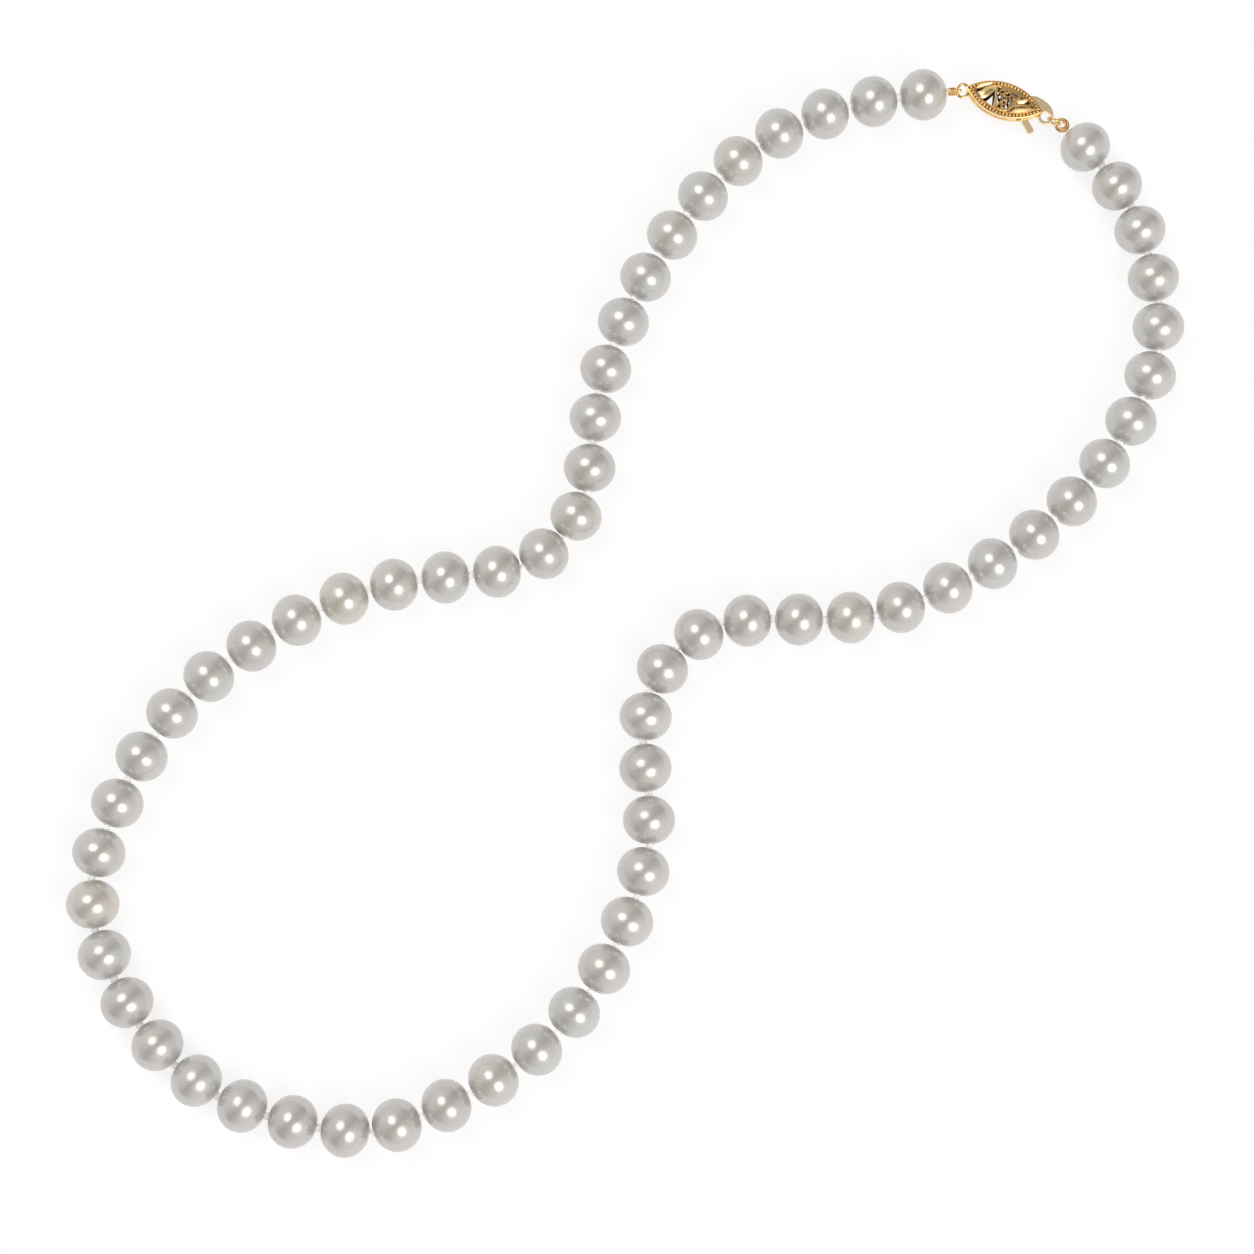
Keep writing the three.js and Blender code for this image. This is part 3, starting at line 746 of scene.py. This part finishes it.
def filigree(side_up):
    """The openwork of one half: a bezel, a plain shelf, blades at the two ends and scrolls between them."""
    # The third number is the crest: low at the bezel's foot, where the gold paints shade.
    section = [
        (BEZEL_INSET, 0.5, 0.1), (BEZEL_INSET, BEZEL_TOP, 0.8), (BEZEL_INSET + 0.05, BEZEL_TOP + 0.06, 1),
        (BEZEL_INSET + 0.17, BEZEL_TOP + 0.07, 1), (SHELF_INSET, BEZEL_TOP - 0.02, 0.5),
        (SHELF_INSET, 0.6, 0.0),
    ]
    skins = [rim_ring(section)]
    skins.append(ribbon([(-1.6, 1.55), (-0.2, 1.62), (1.4, 1.4), (3.0, 0.9)],
                        lambda s: 0.06 + 0.36 * math.sin(math.pi * s) ** 0.6, 0.06))
    skins.append(leaf((-4.4, 0.0), (-3.45, 1.05), (-1.95, 1.85), 0.22, False))
    skins.append(leaf((-3.35, -1.1), (-2.7, 0.1), (-1.5, 1.5), 0.62))
    skins.append(leaf((-4.5, -0.2), (-3.6, -0.75), (-2.3, -1.55), 0.2, False))
    skins.append(ribbon([
        (-1.0, -1.75), (-1.1, -0.7), (-1.35, 0.4), (-1.55, 1.25), (-1.3, 1.72), (-0.85, 1.45),
    ], lambda s: 0.23 - 0.06 * s))
    skins += scroll((-0.5, 0.75), 0.44, -60, 250, [(-0.5, 0.2), (-0.3, -0.35), (-0.6, -1.0), (-0.95, -1.4)])
    skins += scroll((0.3, 0.75), 0.42, 170, -260, [(0.05, 0.25), (0.25, -0.1), (0.35, -0.4)])
    skins += scroll((0.15, -0.5), 0.42, 40, -270, [(-0.2, -0.95), (0.0, -1.3), (0.5, -1.5)])
    skins += scroll((1.05, 0.4), 0.4, -40, 250, [(0.8, 0.0), (1.0, -0.5), (0.95, -1.1), (0.6, -1.55)])
    skins.append(ribbon([
        (-1.1, -1.35), (-0.4, -1.7), (0.4, -1.6), (1.0, -1.2), (1.35, -0.5), (1.5, 0.2), (2.0, 0.75),
    ], 0.2))
    skins.append(leaf((1.4, 0.1), (2.3, 0.25), (3.35, 0.95), 0.3))
    skins.append(ribbon([(1.3, -0.6), (2.0, -0.35), (2.75, -0.05), (3.3, 0.0), (3.8, 0.3), (4.2, 0.7)],
                        lambda s: 0.22 - 0.06 * s))
    skins.append(leaf((1.3, -1.7), (2.4, -1.0), (4.6, -0.15), 0.3, False))
    skins.append(ribbon([(3.3, 0.0), (3.95, -0.15), (4.75, 0.0)], lambda s: 0.18 - 0.05 * s))
    return up_or_down(merged(skins), side_up)


def wall(side, start_x, end_x):
    """A strip of wall between the rims, from one x to another."""
    outer, inner = 0.09, 0.42
    top = SLOT_HALF_HEIGHT
    section = rounded([(outer, -top), (outer, top), (inner, top), (inner, -top)], 0.06)
    rings = []
    for x in np.linspace(start_x, end_x, 28):
        ring = []
        for inset, z in section:
            radius = ARC_RADIUS - inset
            a = math.acos(x / radius)
            ring.append((radius * math.cos(a), side * (radius * math.sin(a) - ARC_CENTRE), z))
        rings.append(ring)
    rings = np.array(rings)
    return skin(rings[:, ::-1] if side > 0 else rings)


def post_skin():
    """A riveted pin: a plain shank with a low domed head at each end."""
    reach = dome(*POST) + 0.05
    head_radius, head_foot = POST_RADIUS * 1.25, reach - 0.26
    half = [(POST_RADIUS, 0.0), (POST_RADIUS, reach - 0.3), (head_radius, head_foot)]
    half += [(head_radius * math.cos(a), head_foot + 0.2 * math.sin(a)) for a in (0.4, 0.8, 1.2)]
    half.append((0.0, reach - 0.05))
    profile = [(r, -z) for r, z in reversed(half[1:])] + half
    points, faces, crest = lathe(profile, 20)
    return points + (*POST, 0), faces, crest


def oval(middle, radius_x, radius_y, steps=64):
    t = np.linspace(0, 2 * math.pi, steps, endpoint=False)
    return np.stack([middle[0] + radius_x * np.cos(t), middle[1] + radius_y * np.sin(t), 0 * t], axis=1)


LUG_LENGTH = 1.15
LUG_SECTION = [(-1, -0.7), (-1, 0.7), (-0.7, 1), (0.7, 1), (1, 0.7), (1, -0.7), (0.7, -1), (-0.7, -1)]


def end_ring_skin():
    """The oval ring that the thread's loop hangs on, with its soldered lug between the rims."""
    ring = wire(oval(END_RING, END_RING_RADIUS, END_RING_RADIUS * 1.2), RING_WIRE + 0.03, True, 14)
    lug = []
    for share in np.linspace(0, 1, 10):
        x = END_RING[0] + END_RING_RADIUS - 0.1 + LUG_LENGTH * share
        half = 0.2 + 0.28 * math.sin(share * math.pi / 2)
        tall = 0.18 + 0.2 * min(1, share * 3)
        middle_y = END_RING[1] * (1 - share)
        lug.append([(x, middle_y + y * half, z * tall) for y, z in LUG_SECTION])
    return merged([ring, skin(np.array(lug)[:, ::-1])])


# ---- Hook ----

HOOK_EDGE = 0.07  # radius of the plate's rounded edges


def arc(centre, radius, start, end, steps):
    angles = np.linspace(start, end, steps)
    return [(centre[0] + radius * math.cos(a), centre[1] + radius * math.sin(a)) for a in angles]


def quadratic(start, control, end, steps=14):
    a, b, c = (np.array(p, float) for p in (start, control, end))
    return [tuple((1 - t) ** 2 * a + 2 * t * (1 - t) * b + t**2 * c) for t in np.linspace(0, 1, steps)[1:]]


def hook_outline():
    """Outline of the hook: the finger round the post, the tab, the eye's rim and the leaf."""
    notch_left = POST[0] - POST_RADIUS - NOTCH_CLEARANCE
    notch_right = POST[0] + POST_RADIUS + NOTCH_CLEARANCE
    notch_top = POST[1] + POST_RADIUS + NOTCH_CLEARANCE
    finger_end = POST[1] - FINGER_REACH
    finger_left = notch_left - FINGER_WIDTH
    run = (TAB_TIP - TAB_ROOT) / np.linalg.norm(TAB_TIP - TAB_ROOT)
    across = np.array([-run[1], run[0]]) * TAB_WIDTH / 2
    turn = math.atan2(across[1], across[0])
    points = [
        (finger_left, finger_end), (notch_left, finger_end), (notch_left, notch_top),
        (notch_right, notch_top), (notch_right, finger_end + 0.2), tuple(TAB_ROOT - across),
    ]
    points += arc(TAB_TIP - run * 0.12, TAB_WIDTH / 2, turn - math.pi, turn, 12)
    points += [tuple(TAB_ROOT + across), (TAB_ROOT[0] + across[0] + 0.4, EYE[1] - 0.75)]
    points += arc(EYE, EYE_RIM_RADIUS, math.pi + 0.45, 2 * math.pi + 0.1, 24)
    leaf_root, leaf_top = (EYE[0] + 0.85, EYE[1] + 0.95), (EYE[0] - 2.2, EYE[1] + 2.4)
    points.append(leaf_root)
    points += quadratic(leaf_root, (EYE[0] - 0.1, EYE[1] + 2.3), leaf_top)
    points += quadratic(leaf_top, (POST[0] + 1.0, POST[1] + 2.0), (POST[0], POST[1] + 1.5))
    points += [(finger_left + 0.25, POST[1] + 1.2), (finger_left, POST[1] + 0.9)]
    return points


def filled_plate(name, outlines, thickness, edge):
    """A flat plate with rounded edges from an outline and its holes, as a skin."""
    curve = bpy.data.curves.new(name, "CURVE")
    curve.dimensions = "2D"
    curve.fill_mode = "BOTH"
    curve.extrude = (thickness / 2 - edge) * MM
    curve.bevel_depth = edge * MM
    curve.bevel_resolution = 3
    curve.offset = -edge * MM
    for outline in outlines:
        spline = curve.splines.new("POLY")
        spline.points.add(len(outline) - 1)
        for point, (x, y) in zip(spline.points, outline):
            point.co = (x * MM, y * MM, 0, 1)
        spline.use_cyclic_u = True
    holder = bpy.data.objects.new(name, curve)
    bpy.context.scene.collection.objects.link(holder)
    data = bpy.data.meshes.new_from_object(holder.evaluated_get(bpy.context.evaluated_depsgraph_get()))
    points = np.array([v.co for v in data.vertices]) / MM
    faces = [tuple(f.vertices) for f in data.polygons]
    bpy.data.objects.remove(holder)
    bpy.data.curves.remove(curve)
    bpy.data.meshes.remove(data)
    return points, faces, np.ones(len(points))


def hook_skin():
    steps = 32
    hole = arc(EYE, EYE_HOLE_RADIUS, 0, 2 * math.pi * (steps - 1) / steps, steps)
    return filled_plate("hook_outline", [hook_outline(), hole[::-1]], HOOK_THICKNESS, HOOK_EDGE)


# ---- Rings and gold wire loops ----

FINE_WIRE = 0.045  # radius of the strand that the first loop is wound from
LEG_SPREAD = 0.3


def upright(middle, angle, points):
    """Points of a plane (u, w) stood up along a direction at a middle."""
    u = unit(angle)
    return np.array([(middle[0] + u[0] * a, middle[1] + u[1] * a, w) for a, w in points])


def jump_ring_skin():
    t = np.linspace(0, 2 * math.pi, 56, endpoint=False)
    circle = [(JUMP_RING_RADIUS * math.cos(a), JUMP_RING_RADIUS * math.sin(a)) for a in t]
    return wire(upright(JUMP_RING, LAST_PULL, circle), RING_WIRE, True, 14)


def first_bullion_skin():
    """The wire-wrapped loop from the first pearl: its legs lie side by side and turn upright at the ring."""
    length = FIRST_LOOP_LENGTH + RING_WIRE + LOOP_CLEARANCE + BULLION_WIRE
    pull = unit(FIRST_PULL)
    side = np.array([-pull[1], pull[0]])
    legs = []
    for t in np.linspace(-1, 1, 41):
        along = length * (1 - t**4)
        opening = min(1, abs(t) * 2.2)
        closing = 1 - 1.8 * max(0, abs(t) - 0.8)
        apart = math.copysign(LEG_SPREAD * opening * closing, t)
        turn = math.pi / 2 * min(1, along / length) ** 2
        flat = FIRST_END - pull * (along - 0.05) + side * apart * 1.7 * math.cos(turn)
        legs.append((*flat, apart * 1.5 * math.sin(turn)))
    spare = []
    for share in np.linspace(0, 1, 14):
        flat = FIRST_END - pull * (FIRST_LOOP_LENGTH - 0.1) * share
        spare.append((*flat, 0.3 * math.sin(math.pi * share / 2)))
    return merged([coiled(np.array(legs), 0.24, FINE_WIRE), coiled(np.array(spare), 0.2, FINE_WIRE)])


def last_bullion_skin():
    """The wire-wrapped ring at the last pearl, with the strand that goes back into the bore."""
    ring = oval(BULLION_RING, BULLION_RING_RADIUS, BULLION_RING_RADIUS, 72)
    inner = []
    for a in np.linspace(-1.9, 1.9, 30):
        r = 0.42 + 0.10 * math.cos(a)
        flat = BULLION_RING + unit(LAST_PULL + a) * r
        inner.append((*flat, 0.2 * math.cos(a / 2)))
    return merged([coiled(ring, BULLION_WIRE, 0.05, True), coiled(np.array(inner), 0.15, 0.04)])


def add_clasp():
    def clasp_piece(name, made, material, body="clasp_body"):
        piece(f"{name}_gold", made, material, body, [name], CLASP_MATRIX)

    for label, side_up in (("upper", 1), ("lower", -1)):
        clasp_piece(f"{label}_milgrain_rim", milgrain_rim(side_up), FILIGREE_GOLD)
        clasp_piece(f"{label}_filigree", filigree(side_up), FILIGREE_GOLD)
    for name, side, end_x in (
        ("leaf_side_wall", 1, POST[0] - LEAF_SIDE_WALL_TO_POST),
        ("tab_side_wall", -1, TAB_ROOT[0] - TAB_WALL_GAP),
    ):
        clasp_piece(name, wall(side, WALL_START, end_x), PLATE_GOLD)
    clasp_piece("catch_post", post_skin(), PLATE_GOLD)
    clasp_piece("end_ring", end_ring_skin(), WIRE_GOLD)
    clasp_piece("hook_plate", hook_skin(), PLATE_GOLD, "hook")
    clasp_piece("jump_ring", jump_ring_skin(), WIRE_GOLD, "jump_ring")
    for name, made in (
        ("bullion_loop_first", first_bullion_skin()), ("bullion_ring_last", last_bullion_skin()),
    ):
        clasp_piece(name, made, WIRE_GOLD, body_of_node(name))


# ---- Stage ----

CAMERA_TILT = math.radians(8.14)
CAMERA_AZIMUTH = math.radians(-8.83)
CAMERA_DISTANCE = 429.7
CAMERA_AIM = (-1.02, -3.82, STRAND_Z)
SOFTBOX_DISTANCE = 900
FLOOR_HALF_SIZE = 4000
FLOOR_DROP = 0.05  # below the lowest pearls


def add_camera():
    camera = bpy.data.objects.new("camera", bpy.data.cameras.new("camera"))
    camera.data.lens = 90
    camera.data.sensor_width = 36
    back = Vector((
        math.sin(CAMERA_TILT) * math.sin(CAMERA_AZIMUTH),
        -math.sin(CAMERA_TILT) * math.cos(CAMERA_AZIMUTH), math.cos(CAMERA_TILT),
    ))
    right = Vector((0, 1, 0)).cross(back).normalized()
    up = back.cross(right)
    turn = Matrix((right, up, back)).transposed()
    place = (Vector(CAMERA_AIM) + back * CAMERA_DISTANCE) * MM
    camera.matrix_world = Matrix.Translation(place) @ turn.to_4x4()
    camera.data.clip_start, camera.data.clip_end = 0.02, 20
    bpy.context.scene.collection.objects.link(camera)
    bpy.context.scene.camera = camera


def add_softbox(name, direction, size, power):
    light = bpy.data.lights.new(name, "AREA")
    light.shape = "DISK"
    light.size = size * MM
    light.energy = power
    obj = bpy.data.objects.new(name, light)
    away = Vector(direction).normalized()
    turn = away.to_track_quat("Z", "Y").to_matrix().to_4x4()
    obj.matrix_world = Matrix.Translation(away * SOFTBOX_DISTANCE * MM) @ turn
    obj.visible_camera = False
    bpy.context.scene.collection.objects.link(obj)


def add_world():
    """A white studio with a darker strip overhead, between the two softboxes."""
    world = bpy.data.worlds.new("studio")
    bpy.context.scene.world = world
    world.use_nodes = True
    tree = world.node_tree
    background = tree.nodes["Background"]
    place = add(tree, "TexCoord")
    across = add(tree, "VectorMath", operation="DOT_PRODUCT")
    across.inputs[1].default_value = (-math.sqrt(0.5), math.sqrt(0.5), 0)
    tree.links.new(place.outputs["Generated"], across.inputs[0])
    apart = add(tree, "Math", operation="ABSOLUTE")
    tree.links.new(across.outputs["Value"], apart.inputs[0])
    colour = ramp(tree, apart.outputs[0], [
        (0.0, (0.13, 0.12, 0.115)), (0.22, (0.30, 0.285, 0.275)), (0.5, (0.66, 0.65, 0.64)),
        (1.0, (0.92, 0.92, 0.92)),
    ])
    tree.links.new(colour, background.inputs["Color"])
    background.inputs["Strength"].default_value = 1.0


def add_floor():
    """A white floor that glows a little, so that it shows as plain white."""
    material, _, shader = new_material("floor_white", Roughness=0.9, Specular_IOR_Level=0.0)
    shader.inputs["Base Color"].default_value = (0.2, 0.2, 0.2, 1)
    shader.inputs["Emission Color"].default_value = (1, 1, 1, 1)
    shader.inputs["Emission Strength"].default_value = 0.81
    half = FLOOR_HALF_SIZE * MM
    corners = [(-half, -half, 0), (half, -half, 0), (half, half, 0), (-half, half, 0)]
    data = bpy.data.meshes.new("floor")
    data.from_pydata(corners, [], [(0, 1, 2, 3)])
    data.materials.append(material)
    floor = bpy.data.objects.new("floor", data)
    floor.location.z = -FLOOR_DROP * MM
    bpy.context.scene.collection.objects.link(floor)


add_camera()
add_pearls()
add_silk()
add_clasp()
add_world()
add_softbox("softbox_back", (-0.364, 0.281, 0.888), 560, 2.45)
add_softbox("softbox_front", (0.402, -0.493, 0.771), 620, 3.3)
add_floor()
bpy.context.scene.view_settings.view_transform = "Standard"
